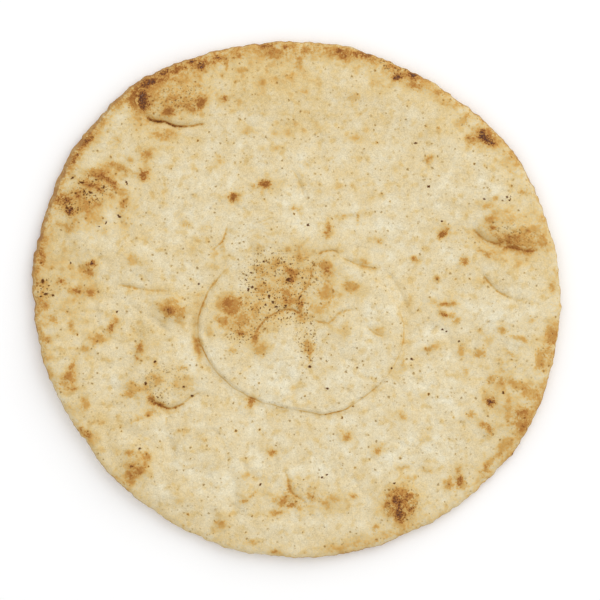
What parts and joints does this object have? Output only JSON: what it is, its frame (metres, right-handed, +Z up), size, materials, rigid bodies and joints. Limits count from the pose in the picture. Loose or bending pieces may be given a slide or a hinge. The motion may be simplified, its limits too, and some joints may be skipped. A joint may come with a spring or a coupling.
{
  "type": "pita bread",
  "caption": "Round flat loaf of leavened bread: a pale blistered crust with browned spots, a sunken blister in the middle, folds and a thin rounded rim.",
  "frame": {"origin": "in the plane that the loaf rests on, under the middle of its outline", "axes": "+Z up out of the top crust, +Y from the middle towards the charred stretch of rim at the back, +X to the right seen from above"},
  "size_m": [0.1802, 0.176, 0.0082],
  "materials": {
    "crust": "matt baked crust"
  },
  "bodies": {
    "root": {"pita_bread": "crust"}
  },
  "joints": []
}
